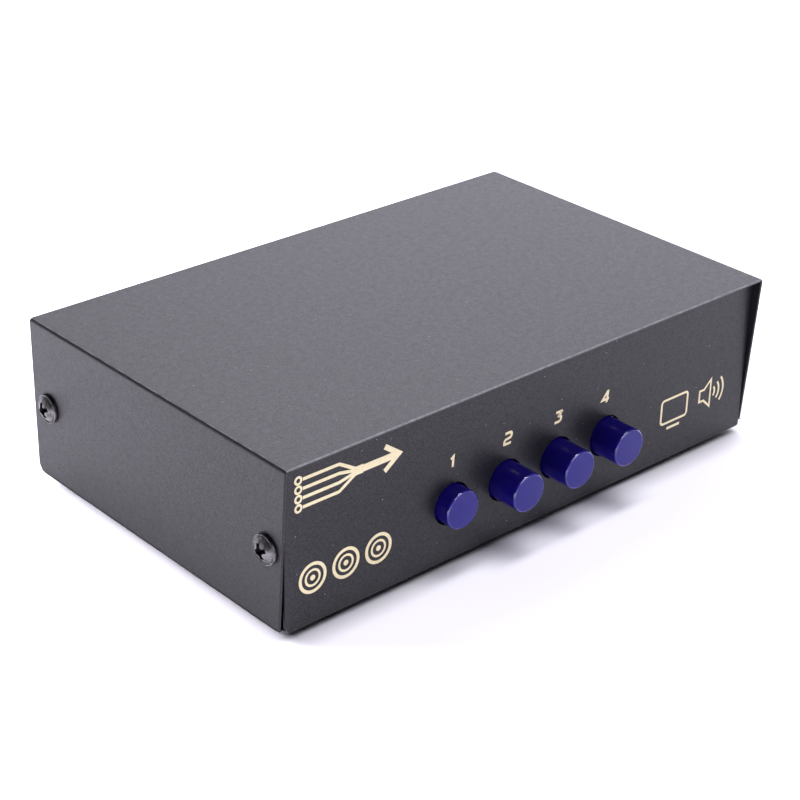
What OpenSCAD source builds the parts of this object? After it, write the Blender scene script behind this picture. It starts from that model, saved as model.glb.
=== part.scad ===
// Four-way audio and video selector box with an interlocked push-key bank.
// Millimetres, +Z up. The front panel faces -Y, X runs to the right seen from
// the front, and the feet stand on z = 0.

/* [Case] */
// Width over the cover's sides
case_w = 150; // [146:1:170]
// Depth of the cover's top
case_d = 94; // [94:0.5:112]
// Height of the cover's sides
case_h = 40; // [40:0.1:46]
// Thickness of the sheet steel
sheet = 0.7; // [0.7:0.05:0.85]
// Outer radius of the cover's bends
bend_r = 0.9; // [0.9:0.05:2.5]
// How far the cover's top reaches past the front panel
front_overhang = 2.4; // [1:0.1:3]
// How far the sides' front edges lean back from top to bottom
front_slant = 2.5; // [0.5:0.1:4]
// Radius of the lower front corners of the cover's sides
front_corner_r = 1.0; // [0.5:0.1:3]
// Radius of the lower rear corners of the cover's sides
rear_corner_r = 2.4; // [1:0.1:4]
// How far the cover's lower edges stay above the underside of the chassis
cover_lift = 1.7; // [1:0.1:2]
// How far the rear panel sits inside the cover's rear edge
rear_inset = 1.0; // [0.5:0.1:2]
// Gap between the chassis and the inside of the cover, the mean of both sides
panel_gap = 0.5; // [0.45:0.05:0.8]
// How far the chassis sits to the right of the middle of the cover
chassis_shift = 0.4; // [0:0.1:0.4]
// Height of the rubber feet
foot_h = 1.6; // [1.4:0.1:4]
// Diameter of the rubber feet
foot_d = 9; // [6:0.5:11]

/* [Cover screws] */
// Height of the screws over the cover's lower edge
screw_z = 19; // [14:0.1:26]
// Front screws, from the front edge of the top
screw_front = 6.3; // [6.2:0.1:9]
// Rear screws, from the rear edge of the top
screw_rear = 6.3; // [4.8:0.1:7]
// Diameter of the washer head
screw_head_d = 7.2; // [6:0.1:7.6]

/* [Keys] */
// Distance between keys
key_pitch = 16.5; // [14:0.25:17]
// Middle of the key row, from the middle of the panel
key_mid_x = -1.0; // [-1.5:0.1:1.5]
// Height of the key axes over the cover's lower edge
key_z = 13.1; // [12.9:0.1:14.6]
// Diameter of a key cap at its face
cap_d = 9.5; // [8:0.1:9.6]
// Diameter of the key holes in the front panel
key_hole_d = 10.3; // [10.2:0.1:11.4]
// How far a released cap stands out of the panel
cap_out = 7.8; // [7.5:0.1:9]
// Travel from released to latched
key_travel = 4.05; // [3.9:0.05:4.1]
// Travel past the latched place
key_over = 0.6; // [0.3:0.05:0.6]

/* [Jacks] */
// Distance between socket columns
jack_px = 25; // [22:0.5:27]
// Distance between socket rows
jack_pz = 12; // [11:0.1:12]
// Outer diameter of a socket's sleeve
barrel_d = 8.3; // [8.2:0.05:8.5]
// How far a sleeve stands out of its coloured flange
barrel_l = 7.9; // [7:0.1:9]
// Diameter of a socket's pin hole
pin_hole_d = 3.3; // [3.2:0.05:3.5]

/* [Hidden] */
$fn = 64;
eps = 0.01;

// Heights
z_tray = foot_h;                   // underside of the chassis
z_low = z_tray + cover_lift;       // lower edges of the cover
z_top = z_low + case_h;            // top of the cover
z_floor = z_tray + sheet;          // top of the chassis floor
z_key = z_low + key_z;             // key axes
z_scr = z_low + screw_z;           // cover screws
z_panel = z_top - sheet - 0.4;     // top edge of the panels

// Depths, counted from the middle of the cover's top
y_tf = -case_d / 2;                // front edge of the top
y_tr = case_d / 2;                 // rear edge of the top
y_pf = y_tf + front_overhang;      // outer face of the front panel
y_pr = y_tr - rear_inset;          // outer face of the rear panel
y_sf = y_tf + screw_front;         // front cover screws
y_sr = y_tr - screw_rear;          // rear cover screws
pan_w = case_w - 2 * sheet - 2 * panel_gap;

// Key bank, along Y, at the released place
cap_l = 11;
y_cap = y_pf - cap_out;            // face of a released cap
y_capr = y_cap + cap_l;            // rear end of a released cap
y_fp = y_capr + key_travel + key_over + 2.63; // front face of the frame plate
fp_t = 0.8;
lug_y = y_fp + fp_t + 0.3;         // latch face of a released lug
y_bar = lug_y + key_travel - 0.1 - 0.8; // front face of the latch bar
y_sb = y_bar + 3.45;               // front face of the switch bodies
sb_l = 26;
y_sl = y_sb + 1.7;                 // front end of a released carriage
sl_l = 18;
rod = 4.0;
bar_shift = 1.0;

// Key bank, across
function key_x(k) = key_mid_x + (k - 2.5) * key_pitch;
function key_y(k) = k == 1 ? key_travel : 0; // key 1 is stored latched
frame_hx = 1.5 * key_pitch + 14.35;
bar_hx = 1.5 * key_pitch + 9.75;

// Boards
pcb = 1.6;
z_pcb = z_key - 5;                 // top of the switch board
pcb_hx = 48;
pcb_y0 = y_fp - 1.3;
pcb_y1 = y_sb + sb_l + 8.5;
so_x = 44;
so_y = [pcb_y0 + 4, pcb_y1 - 5];
z_pin = z_pcb + 2;                 // floor of the switch channel
pin_x = [-2.4, 2.4];
pin_y = [2.9, 6.9, 10.9, 14.9, 18.9, 22.9]; // behind the front of a switch body

// Jacks
jack_z0 = (z_floor + z_top - sheet) / 2;
jh_hx = 9.2;
jh_l = 14.9;
y_jb = y_pr - sheet - jh_l;        // rear face of the jack board's mate
fl_t = 1.6;
y_fl = y_pr + fl_t;                // outer face of the coloured flanges
y_be = y_fl + barrel_l;            // outer end of the sleeves
function jack_x(c) = (c - 3) * jack_px;
function jack_z(r) = jack_z0 + (2 - r) * jack_pz; // row 1 is the top row
jack_scr = [[6.6, -jack_pz / 2], [-6.6, jack_pz / 2]];

// The whole is centred on Y between the cap faces and the sleeve ends
y_mid = (y_cap + y_be) / 2;
module placed() translate([0, -y_mid, 0]) children();

// A profile drawn in (Y, Z), pushed along +X
module along_x(l) rotate([90, 0, 90]) linear_extrude(l) children();
// A profile drawn in (X, Z), pushed along +Y from y to y + l
module along_y(y, l) translate([0, y + l, 0]) rotate([90, 0, 0]) linear_extrude(l) children();
// A round piece drawn in (radius, height), with its height along +Y
module turned_y() rotate([-90, 0, 0]) rotate_extrude() children();
module box(x0, x1, y0, y1, z0, z1) translate([x0, y0, z0]) cube([x1 - x0, y1 - y0, z1 - z0]);
module rod_y(r, y0, y1) translate([0, y0, 0]) rotate([-90, 0, 0]) cylinder(r = r, h = y1 - y0);

// A coil of round wire about +Z, between z = 0 and z = l
module coil(r, w, turns, l, seg = 20, m = 8) {
    n = turns * seg;
    pts = [for (i = [0:n], j = [0:m - 1])
        let (a = 360 * i / seg, b = 360 * j / m,
             z = w / 2 + 0.02 + (l - w - 0.04) * i / n,
             q = r + w / 2 * cos(b))
        [q * cos(a), q * sin(a), z + w / 2 * sin(b)]];
    sides = [for (i = [0:n - 1], j = [0:m - 1], h = [0, 1])
        let (p = i * m + j, q = i * m + (j + 1) % m)
        h == 0 ? [p, p + m, q] : [q, p + m, q + m]];
    polyhedron(pts, concat([[for (j = [0:m - 1]) j]], sides,
        [[for (j = [m - 1:-1:0]) n * m + j]]), convexity = 10);
}

// A cross recess cut down from z = 0
module cross_cut(l, w, d) for (a = [0, 90]) rotate([0, 0, a])
    translate([-l / 2, -w / 2, -d]) cube([l, w, d + 1]);

// A pan head with its seat at z = 0, on a shank that goes down
module pan_screw(head_r, head_h, shank_r, shank_l, cross) {
    big = (head_r * head_r + head_h * head_h) / (2 * head_h);
    difference() {
        union() {
            rotate_extrude() intersection() {
                translate([0, head_h - big]) circle(big, $fn = 96);
                square([head_r, head_h]);
            }
            translate([0, 0, -shank_l]) cylinder(r = shank_r, h = shank_l + 0.2);
        }
        translate([0, 0, head_h]) cross_cut(cross, 0.75, 1.0);
    }
}

// A domed head on a washer flange, seat at z = 0, on a shank that goes down
module washer_screw(fl_r, dome_r, shank_r, shank_l) {
    fl = 0.9;
    hh = 1.3;
    big = (dome_r * dome_r + hh * hh) / (2 * hh);
    difference() {
        union() {
            rotate_extrude() union() {
                square([fl_r - 0.2, fl]);
                square([fl_r, fl - 0.2]);
                translate([fl_r - 0.2, fl - 0.2]) circle(0.2, $fn = 24);
                intersection() {
                    translate([0, fl + hh - big]) circle(big, $fn = 96);
                    translate([0, fl - 0.1]) square([dome_r, hh + 0.1]);
                }
            }
            translate([0, 0, -shank_l]) cylinder(r = shank_r, h = shank_l + 0.2);
        }
        translate([0, 0, fl + hh]) cross_cut(4.0, 0.9, 1.5);
    }
}

// Outline of the cover, from the front: r is the radius of its upper corners
module hood(w, h, r) {
    translate([-w / 2, 0]) square([w, h - r]);
    translate([-w / 2 + r, 0]) square([w - 2 * r, h]);
    for (s = [-1, 1]) translate([s * (w / 2 - r), h - r]) circle(r, $fn = 48);
}

// Outline of the cover, from the side, with a leaning front edge
module cover_side() {
    yb = y_tf + front_slant;
    len = norm([front_slant, case_h]);
    ny = case_h / len;
    nz = front_slant / len;
    f = front_corner_r;
    g = rear_corner_r;
    cy = yb + (f - f * nz) / ny;
    union() {
        polygon([[y_tf, z_top], [cy - f * ny, z_low + f - f * nz],
            [cy, z_low + f], [cy, z_low], [y_tr - g, z_low],
            [y_tr - g, z_low + g], [y_tr, z_low + g], [y_tr, z_top]]);
        translate([cy, z_low + f]) circle(f, $fn = 48);
        translate([y_tr - g, z_low + g]) circle(g, $fn = 48);
    }
}

module top_cover() color([0.16, 0.16, 0.17]) placed() difference() {
    intersection() {
        along_y(y_tf, case_d) translate([0, z_low]) difference() {
            hood(case_w, case_h, bend_r);
            translate([0, -1]) hood(case_w - 2 * sheet, case_h - sheet + 1, bend_r - sheet);
        }
        translate([-case_w, 0, 0]) along_x(2 * case_w) cover_side();
    }
    for (y = [y_sf, y_sr]) translate([-case_w, y, z_scr]) rotate([0, 90, 0])
        cylinder(r = 1.7, h = 2 * case_w);
}

// Tray outline from the side, as thick as the sheet
module tray_side() {
    r = 0.9;
    q = r - sheet > 0.3 ? r - sheet : 0.3;
    difference() {
        union() {
            translate([y_pf, z_tray + r]) square([y_pr - y_pf, z_panel - z_tray - r]);
            translate([y_pf + r, z_tray]) square([y_pr - y_pf - 2 * r, r + 1]);
            translate([y_pf + r, z_tray + r]) circle(r, $fn = 48);
            translate([y_pr - r, z_tray + r]) circle(r, $fn = 48);
        }
        translate([y_pf + sheet, z_floor + q]) square([y_pr - y_pf - 2 * sheet, z_panel]);
        translate([y_pf + sheet + q, z_floor]) square([y_pr - y_pf - 2 * sheet - 2 * q, q + 1]);
        translate([y_pf + sheet + q, z_floor + q]) circle(q, $fn = 32);
        translate([y_pr - sheet - q, z_floor + q]) circle(q, $fn = 32);
    }
}

module chassis() color([0.14, 0.14, 0.15]) placed() difference() {
    union() {
        translate([chassis_shift - pan_w / 2, 0, 0]) along_x(pan_w) tray_side();
        // side tabs that take the cover screws
        translate([chassis_shift, 0, 0]) for (s = [0, 1]) mirror([s, 0, 0]) {
            box(pan_w / 2 - sheet, pan_w / 2, y_pf + 0.5, y_sf + 5.5, z_scr - 8, z_scr + 8);
            box(pan_w / 2 - sheet, pan_w / 2, y_sr - 5.5, y_pr - 0.5, z_scr - 8, z_scr + 8);
        }
    }
    // cropped lower corners of the panels, as [side, y, width, height]: the front left one is deeper
    for (c = [[1, y_pf - 1, 1.2, 2.2], [0, y_pf - 1, 0.5, 0.8], [1, y_pr - 2, 0.5, 0.8], [0, y_pr - 2, 0.5, 0.8]])
        translate([chassis_shift, 0, 0]) mirror([c[0], 0, 0]) along_y(c[1], 3) polygon([[pan_w / 2 + 1, z_tray - 1],
            [pan_w / 2 + 1, z_tray + c[3] * (1 + 1 / c[2])], [pan_w / 2, z_tray + c[3]],
            [pan_w / 2 - c[2], z_tray], [pan_w / 2 - c[2], z_tray - 1]]);
    for (k = [1:4]) translate([key_x(k), 0, z_key]) rod_y(key_hole_d / 2, y_pf - 2, y_pf + sheet + 1);
    for (c = [1:5]) {
        for (r = [1:3]) translate([jack_x(c), 0, jack_z(r)]) rod_y(4.5, y_pr - sheet - 1, y_pr + 1);
        for (p = jack_scr) translate([jack_x(c) + p[0], 0, jack_z0 + p[1]])
            rod_y(1.6, y_pr - sheet - 1, y_pr + 1);
    }
    for (y = [y_sf, y_sr]) translate([-case_w, y, z_scr]) rotate([0, 90, 0])
        cylinder(r = 1.5, h = 2 * case_w);
    for (x = [-so_x, so_x], y = so_y) translate([x, y, z_tray - 1]) cylinder(r = 1.6, h = sheet + 2);
}

module cover_screws() color([0.08, 0.08, 0.09]) placed() for (s = [0, 1], y = [y_sf, y_sr])
    mirror([s, 0, 0]) translate([case_w / 2, y, z_scr]) rotate([0, 90, 0])
        washer_screw(screw_head_d / 2, screw_head_d * 0.385, 1.45, 6);

module rubber_feet() color([0.05, 0.05, 0.05]) placed() for (x = [-1, 1], y = [-1, 1])
    translate([x * (case_w / 2 - 13), y * (case_d / 2 - 11), 0]) rotate_extrude() union() {
        polygon([[0, 0], [foot_d / 2 - 0.9, 0], [foot_d / 2 - 0.4, 0.5], [foot_d / 2, foot_h],
            [0, foot_h]]);
        translate([foot_d / 2 - 0.9, 0.5]) circle(0.5, $fn = 24);
    }

// A cap drawn as (radius, depth behind its face)
module cap_profile() {
    r = cap_d / 2;
    e = 0.5;
    polygon([[0, 0], [r - e, 0], [r - e, e], [r, e], [r + 0.08, cap_l], [0, cap_l]]);
    intersection() {
        translate([r - e, e]) circle(e, $fn = 48);
        square([r, e]);
    }
}

module key_cap(k) color([0.13, 0.10, 0.52]) placed()
    translate([key_x(k), y_cap + key_y(k), z_key]) difference() {
        turned_y() cap_profile();
        box(-rod / 2 - 0.05, rod / 2 + 0.05, 3.5, cap_l + 1, -rod / 2 - 0.05, rod / 2 + 0.05);
    }
module key_cap_1() key_cap(1);
module key_cap_2() key_cap(2);
module key_cap_3() key_cap(3);
module key_cap_4() key_cap(4);

// Square rod, latch lug with its ramp, and the carriage that holds the clips
module key_plunger(k) color([0.85, 0.84, 0.80]) placed()
    translate([key_x(k), key_y(k), z_key]) union() {
        box(-rod / 2, rod / 2, y_cap + 3.5, y_sl + 1, -rod / 2, rod / 2);
        translate([0, 0, -1.5]) linear_extrude(3) polygon([[rod / 2 - 0.5, lug_y], [rod / 2 + 1.2, lug_y],
            [rod / 2 + 1.2, lug_y + 0.5], [rod / 2, lug_y + 1.6], [rod / 2 - 0.5, lug_y + 1.6]]);
        box(-4, 4, y_sl, y_sl + sl_l, -2.6, 2.7);
    }
module key_plunger_1() key_plunger(1);
module key_plunger_2() key_plunger(2);
module key_plunger_3() key_plunger(3);
module key_plunger_4() key_plunger(4);

module slider_clips(k) color([0.80, 0.66, 0.35]) placed()
    translate([key_x(k), key_y(k), z_key]) for (x = pin_x, y = [0.6, 12.6])
        box(x - 0.8, x + 0.8, y_sl + y, y_sl + y + 5.2, -2.9, -2.6);
module slider_clips_1() slider_clips(1);
module slider_clips_2() slider_clips(2);
module slider_clips_3() slider_clips(3);
module slider_clips_4() slider_clips(4);

module key_spring(k) color([0.72, 0.72, 0.74]) placed()
    translate([key_x(k), y_capr + key_y(k), z_key]) rotate([-90, 0, 0])
        coil(3.3, 0.45, 4, y_fp - y_capr - key_y(k));
module key_spring_1() key_spring(1);
module key_spring_2() key_spring(2);
module key_spring_3() key_spring(3);
module key_spring_4() key_spring(4);

module switch_body(k) color([0.10, 0.10, 0.11]) placed() translate([key_x(k), y_sb, 0]) difference() {
    box(-5.75, 5.75, 0, sb_l, z_pcb, z_pcb + 10);
    box(-4.3, 4.3, 1.4, sb_l + 1, z_pin, z_key + 3);
    box(-2.3, 2.3, -1, 2, z_key - 2.3, z_key + 2.3);
    for (x = pin_x, y = pin_y) box(x - 0.45, x + 0.45, y - 0.25, y + 0.25, z_pcb - 1, z_pin + 1);
}
module switch_body_1() switch_body(1);
module switch_body_2() switch_body(2);
module switch_body_3() switch_body(3);
module switch_body_4() switch_body(4);

module switch_terminals() color([0.78, 0.76, 0.70]) placed() for (k = [1:4], x = pin_x, y = pin_y)
    translate([key_x(k), y_sb, 0])
        box(x - 0.45, x + 0.45, y - 0.25, y + 0.25, z_pcb - pcb - 1.2, z_pin);

// Folded frame: front plate, end plates, top flange, and feet through the board
module switch_frame() color([0.70, 0.71, 0.72]) placed() translate([key_mid_x, 0, 0]) difference() {
    union() {
        box(-frame_hx, frame_hx, y_fp, y_fp + fp_t, z_pcb, z_pcb + 10.8);
        box(-frame_hx + 3, frame_hx - 3, y_fp, y_sb + 9, z_pcb + 10, z_pcb + 10.8);
        for (s = [0, 1]) mirror([s, 0, 0]) {
            box(frame_hx - fp_t, frame_hx, y_fp, y_sb + 1.5, z_pcb, z_pcb + 10.8);
            box(frame_hx - fp_t, frame_hx, y_fp + 1.5, y_fp + 4.5, z_pcb - pcb - 0.8, z_pcb + 1);
        }
    }
    for (k = [1:4]) box(key_x(k) - key_mid_x - 2.3, key_x(k) - key_mid_x + 2.3, y_fp - 1, y_fp + 2,
        z_key - 2.3, z_key + 2.3);
    for (s = [0, 1]) mirror([s, 0, 0])
        box(frame_hx - 2, frame_hx + 1, y_bar - 0.1, y_bar + 0.9, z_key - 2.1, z_key + 2.1);
}

// Flat bar with one window per key. The right edge of a window is the tooth.
module latch_bar() color([0.62, 0.62, 0.60]) placed() difference() {
    union() {
        box(key_mid_x - bar_hx - 1, key_mid_x + bar_hx - 1, y_bar, y_bar + 0.8, z_key - 4, z_key + 4);
        box(key_mid_x - frame_hx - 3, key_mid_x + frame_hx + 3, y_bar, y_bar + 0.8, z_key - 2, z_key + 2);
    }
    for (k = [1:4]) box(key_x(k) - 2.3, key_x(k) + 2.5 + bar_shift, y_bar - 1, y_bar + 2,
        z_key - 2.3, z_key + 2.3);
}

module latch_spring() color([0.72, 0.72, 0.74]) placed()
    translate([key_mid_x + bar_hx - 1, y_bar + 0.4, z_key]) rotate([0, 90, 0])
        coil(2.5, 0.35, 5, frame_hx - fp_t - bar_hx + 1, 16, 6);

module switch_board() color([0.10, 0.36, 0.16]) placed() difference() {
    box(-pcb_hx, pcb_hx, pcb_y0, pcb_y1, z_pcb - pcb, z_pcb);
    for (x = [-so_x, so_x], y = so_y) translate([x, y, z_pcb - pcb - 1]) cylinder(r = 1.6, h = pcb + 2);
    for (k = [1:4], x = pin_x, y = pin_y) translate([key_x(k), y_sb, 0])
        box(x - 0.55, x + 0.55, y - 0.35, y + 0.35, z_pcb - pcb - 1, z_pcb + 1);
    for (s = [-1, 1]) translate([key_mid_x + s * (frame_hx - fp_t / 2), 0, 0])
        box(-0.5, 0.5, y_fp + 1.4, y_fp + 4.6, z_pcb - pcb - 1, z_pcb + 1);
}

module board_standoffs() color([0.78, 0.66, 0.36]) placed() for (x = [-so_x, so_x], y = so_y)
    translate([x, y, z_floor]) difference() {
        cylinder(r = 3.2, h = z_pcb - pcb - z_floor, $fn = 6);
        translate([0, 0, -1]) cylinder(r = 1.5, h = z_pcb);
    }

module board_screws() color([0.74, 0.74, 0.75]) placed() for (x = [-so_x, so_x], y = so_y)
    translate([x, y, z_pcb]) pan_screw(2.75, 1.8, 1.45, 4.2, 3.2);

module floor_screws() color([0.08, 0.08, 0.09]) placed() for (x = [-so_x, so_x], y = so_y)
    translate([x, y, z_tray]) rotate([180, 0, 0]) pan_screw(2.75, 1.1, 1.45, 3.2, 3.2);

module jack_board() color([0.10, 0.36, 0.16]) placed() difference() {
    box(-2 * jack_px - 12, 2 * jack_px + 12, y_jb - pcb, y_jb, z_floor + 2, z_panel - 2);
    for (c = [1:5], r = [1:3]) translate([jack_x(c), 0, jack_z(r)]) rod_y(0.8, y_jb - pcb - 1, y_jb + 1);
}

module jack_housing(c) color([0.07, 0.07, 0.08]) placed() translate([jack_x(c), 0, 0]) difference() {
    box(-jh_hx, jh_hx, y_jb, y_jb + jh_l, jack_z0 - jack_pz - 5, jack_z0 + jack_pz + 5);
    for (r = [1:3]) translate([0, 0, jack_z(r)]) {
        rod_y(4.4, y_jb + jh_l - 5, y_jb + jh_l + 1);
        rod_y(0.8, y_jb - 1, y_jb + jh_l);
    }
    for (p = jack_scr) translate([p[0], 0, jack_z0 + p[1]]) rod_y(1.25, y_jb + jh_l - 9, y_jb + jh_l + 1);
}
module jack_housing_1() jack_housing(1);
module jack_housing_2() jack_housing(2);
module jack_housing_3() jack_housing(3);
module jack_housing_4() jack_housing(4);
module jack_housing_5() jack_housing(5);

// Coloured moulding: stem in the housing, flange on the panel, core with the pin hole
module jack_insert() difference() {
    turned_y() union() {
        polygon([[0, y_pr - sheet - 4.8], [4.3, y_pr - sheet - 4.8], [4.3, y_pr], [5.2, y_pr],
            [5.2, y_fl - 0.4], [4.8, y_fl - 0.4], [4.8, y_fl], [barrel_d / 2 - 0.65, y_fl],
            [barrel_d / 2 - 0.65, y_be - 0.3], [0, y_be - 0.3]]);
        translate([4.8, y_fl - 0.4]) circle(0.4, $fn = 24);
    }
    rod_y(pin_hole_d / 2, y_be - 8.3, y_be);
    rod_y(0.65, y_pr - sheet - 6, y_be - 8);
}
module jack_row(r) placed() for (c = [1:5]) translate([jack_x(c), 0, jack_z(r)]) jack_insert();
module jack_inserts_yellow() color([0.90, 0.75, 0.10]) jack_row(1);
module jack_inserts_white() color([0.92, 0.92, 0.90]) jack_row(2);
module jack_inserts_red() color([0.78, 0.08, 0.07]) jack_row(3);

module jack_barrels() color([0.80, 0.80, 0.78]) placed() for (c = [1:5], r = [1:3])
    translate([jack_x(c), 0, jack_z(r)]) turned_y() polygon([
        [barrel_d / 2 - 0.6, y_fl], [barrel_d / 2, y_fl], [barrel_d / 2, y_be - 0.3],
        [barrel_d / 2 - 0.3, y_be], [barrel_d / 2 - 0.6, y_be]]);

module jack_contacts() color([0.80, 0.66, 0.35]) placed() for (c = [1:5], r = [1:3])
    translate([jack_x(c), 0, jack_z(r)]) rod_y(0.6, y_jb - pcb - 1.2, y_be - 8.3);

module jack_screws() color([0.08, 0.08, 0.09]) placed() for (c = [1:5], p = jack_scr)
    translate([jack_x(c) + p[0], y_pr, jack_z0 + p[1]]) rotate([-90, 0, 0])
        pan_screw(2.5, 1.8, 1.2, 8, 3.0);

// Flat cable that leaves the switch board upwards and turns back to the jack board
module ribbon_path() {
    t = 0.9;
    y = pcb_y1 - 3.5;
    translate([y, z_pcb]) square([t, 4]);
    translate([y + 4, z_pcb + 4]) intersection() {
        difference() {
            circle(4, $fn = 64);
            circle(4 - t, $fn = 64);
        }
        translate([-4, 0]) square([4, 4]);
    }
    translate([y + 4, z_pcb + 8 - t]) square([y_jb - pcb - y - 4, t]);
}
module ribbon_cables() color([0.55, 0.56, 0.58]) placed() for (c = [-2:2])
    translate([c * 18 - 2.55, 0, 0]) along_x(5.1) ribbon_path();

top_cover();
chassis();
cover_screws();
rubber_feet();
key_cap_1();
key_cap_2();
key_cap_3();
key_cap_4();
key_plunger_1();
key_plunger_2();
key_plunger_3();
key_plunger_4();
slider_clips_1();
slider_clips_2();
slider_clips_3();
slider_clips_4();
key_spring_1();
key_spring_2();
key_spring_3();
key_spring_4();
switch_body_1();
switch_body_2();
switch_body_3();
switch_body_4();
switch_terminals();
switch_frame();
latch_bar();
latch_spring();
switch_board();
board_standoffs();
board_screws();
floor_screws();
jack_board();
jack_housing_1();
jack_housing_2();
jack_housing_3();
jack_housing_4();
jack_housing_5();
jack_inserts_yellow();
jack_inserts_white();
jack_inserts_red();
jack_barrels();
jack_contacts();
jack_screws();
ribbon_cables();
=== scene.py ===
import math

import bmesh
import bpy
from mathutils import Matrix, Vector


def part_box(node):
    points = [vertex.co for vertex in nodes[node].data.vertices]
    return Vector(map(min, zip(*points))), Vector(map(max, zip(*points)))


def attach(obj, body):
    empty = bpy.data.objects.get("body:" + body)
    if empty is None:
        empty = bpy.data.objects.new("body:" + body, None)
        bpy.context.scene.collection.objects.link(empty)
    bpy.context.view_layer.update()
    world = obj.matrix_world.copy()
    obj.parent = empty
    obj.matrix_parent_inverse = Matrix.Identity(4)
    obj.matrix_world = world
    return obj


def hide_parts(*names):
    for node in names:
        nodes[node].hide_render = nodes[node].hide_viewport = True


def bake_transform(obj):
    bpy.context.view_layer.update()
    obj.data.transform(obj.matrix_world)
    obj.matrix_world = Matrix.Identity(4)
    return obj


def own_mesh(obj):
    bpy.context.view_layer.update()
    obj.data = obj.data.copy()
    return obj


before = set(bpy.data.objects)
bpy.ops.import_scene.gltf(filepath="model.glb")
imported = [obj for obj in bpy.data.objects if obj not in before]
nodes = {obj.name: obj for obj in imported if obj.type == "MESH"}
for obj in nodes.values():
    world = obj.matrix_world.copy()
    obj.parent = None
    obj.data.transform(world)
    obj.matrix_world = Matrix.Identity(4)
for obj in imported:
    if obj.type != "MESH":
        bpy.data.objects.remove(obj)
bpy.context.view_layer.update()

scene = bpy.context.scene
MM = 0.001

# ---------------------------------------------------------------- sizes, in mm
def box_mm(node):
    """Lowest and highest corners of a CAD node, in mm."""
    return [[round(v / MM, 3) for v in p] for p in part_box(node)]


lo, hi = box_mm("top_cover")
CASE_X, TOP_Z, LOW_Z = hi[0], hi[2], lo[2]  # half width, top and lower edges of the cover
TOP_YF, TOP_YR = lo[1], hi[1]  # front and rear edges of the top
LEAN = 2.5  # the sides' front edges lean back by this much
SHEET = 0.7
BEND = 0.9  # outer radius of the cover's bends
CORNER_F, CORNER_R = 1.0, 2.4  # lower corners of the cover's sides
lo, hi = box_mm("chassis")
PAN_C, PAN_X = (lo[0] + hi[0]) / 2, (hi[0] - lo[0]) / 2  # the tray sits a little to the right in the cover
PAN_YF, PAN_YR, PAN_Z, TRAY_Z = lo[1], hi[1], hi[2], lo[2]
FOLD = 0.9  # outer radius of the tray's bends
keys = [box_mm(f"key_cap_{k}") for k in (1, 2, 3, 4)]
KEY_X = [(a[0] + b[0]) / 2 for a, b in keys]
KEY_Z = (keys[0][0][2] + keys[0][1][2]) / 2
KEY_FACE = [a[1] for a, b in keys]  # number 1 is held in
CAP_L = keys[0][1][1] - keys[0][0][1]
CAP_R = (keys[0][1][0] - keys[0][0][0]) / 2
HOLE_R = 5.15
PLATE_Y = box_mm("switch_frame")[0][1]  # front of the key frame, where the return springs stand
lo, hi = box_mm("jack_barrels")
SLEEVE_Y0, SLEEVE_Y1, SLEEVE_R = lo[1], hi[1], 4.15
JACK_X = [(hi[0] - SLEEVE_R) * k / 2 for k in (-2, -1, 0, 1, 2)]
JACK_Z = {c: sum(v[2] for v in box_mm(f"jack_inserts_{c}")) / 2 for c in ("yellow", "white", "red")}
lo, hi = box_mm("cover_screws")
HEAD_R, HEAD_H = 3.6, hi[0] - CASE_X
SCREW_Y, SCREW_Z = (lo[1] + HEAD_R, hi[1] - HEAD_R), (lo[2] + hi[2]) / 2
lo, hi = box_mm("rubber_feet")
FOOT_R, FOOT_H = 4.5, hi[2]
FOOT_X, FOOT_Y = (lo[0] + FOOT_R, hi[0] - FOOT_R), (lo[1] + FOOT_R, hi[1] - FOOT_R)
lo, hi = box_mm("floor_screws")
PIN_X, PIN_Y, PIN_H = (lo[0] + 2.75, hi[0] - 2.75), (lo[1] + 2.75, hi[1] - 2.75), TRAY_Z - lo[2]


# ---------------------------------------------------------------- mesh helpers
def new_object(name, verts, faces):
    """A mesh from points in mm, with its faces turned outwards."""
    me = bpy.data.meshes.new(name)
    me.from_pydata([Vector(v) * MM for v in verts], [], faces)
    bm = bmesh.new()
    bm.from_mesh(me)
    bmesh.ops.remove_doubles(bm, verts=bm.verts, dist=1e-7)
    bmesh.ops.recalc_face_normals(bm, faces=bm.faces)
    bm.to_mesh(me)
    bm.free()
    ob = bpy.data.objects.new(name, me)
    scene.collection.objects.link(ob)
    return ob


def smooth(ob, degrees=35.0):
    ob.data.polygons.foreach_set("use_smooth", [True] * len(ob.data.polygons))
    ob.data.set_sharp_from_angle(angle=math.radians(degrees))
    return ob


def settle(ob):
    """Puts the result of an object's modifiers into its mesh."""
    bpy.context.view_layer.update()
    dg = bpy.context.evaluated_depsgraph_get()
    me = bpy.data.meshes.new_from_object(ob.evaluated_get(dg), preserve_all_data_layers=True, depsgraph=dg)
    old = ob.data
    ob.modifiers.clear()
    ob.data = me
    bpy.data.meshes.remove(old)
    me.name = ob.name
    return ob


def cut(ob, cutter):
    mod = ob.modifiers.new("cut", "BOOLEAN")
    mod.operation, mod.solver, mod.object = "DIFFERENCE", "EXACT", cutter
    mod.material_mode = "TRANSFER"
    settle(ob)
    data = cutter.data
    bpy.data.objects.remove(cutter)
    bpy.data.meshes.remove(data)
    return ob


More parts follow.
